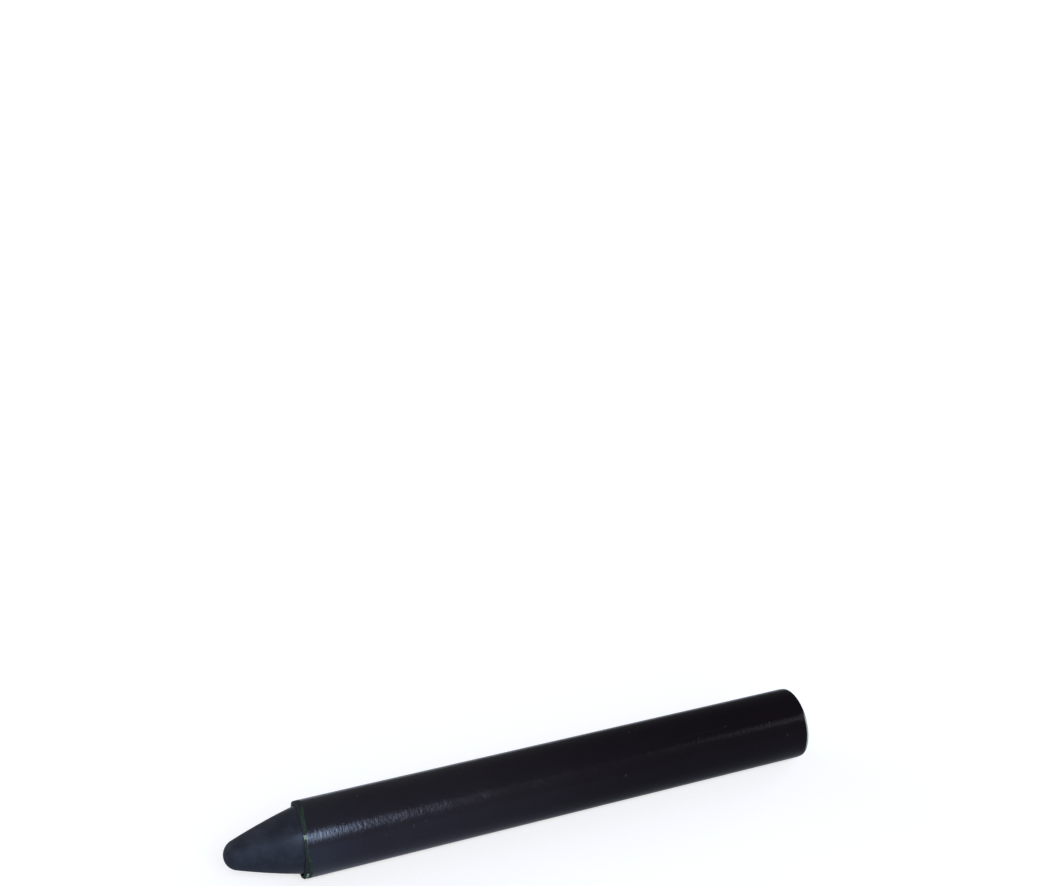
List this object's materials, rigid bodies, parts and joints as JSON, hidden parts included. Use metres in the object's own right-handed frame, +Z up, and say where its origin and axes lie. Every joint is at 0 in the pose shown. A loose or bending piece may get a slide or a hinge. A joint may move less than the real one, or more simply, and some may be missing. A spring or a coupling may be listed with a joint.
{
  "type": "wax marking pencil",
  "caption": "Round black wax marking pencil with a blunt conical point, whose wax stick slides forward in a rolled lacquered paper sleeve with a lap seam.",
  "frame": {"origin": "on the resting surface, under the middle of the pencil's length", "axes": "+Z up; X along the pencil, with the point towards -X and the flat back end towards +X; the lap seam is on the +Y side"},
  "size_m": [0.1, 0.012, 0.012],
  "materials": {
    "wax": "matte blue-black moulded wax with a faint bloom",
    "lacquered_paper": "satin black lacquer on rolled paper",
    "plain_paper": "raw grey-green paper, fibrous at its front edge",
    "glue": "dried clear paste"
  },
  "bodies": {
    "sleeve": {"sleeve_cover": "lacquered_paper", "sleeve_liner": "plain_paper", "seam_glue": "glue"},
    "stick": {"wax_stick": "wax"}
  },
  "joints": [
    {"name": "stick_slide", "type": "slide", "parent": "sleeve", "child": "stick", "axis": [-1, 0, 0], "range_m": [0, 0.06]}
  ]
}
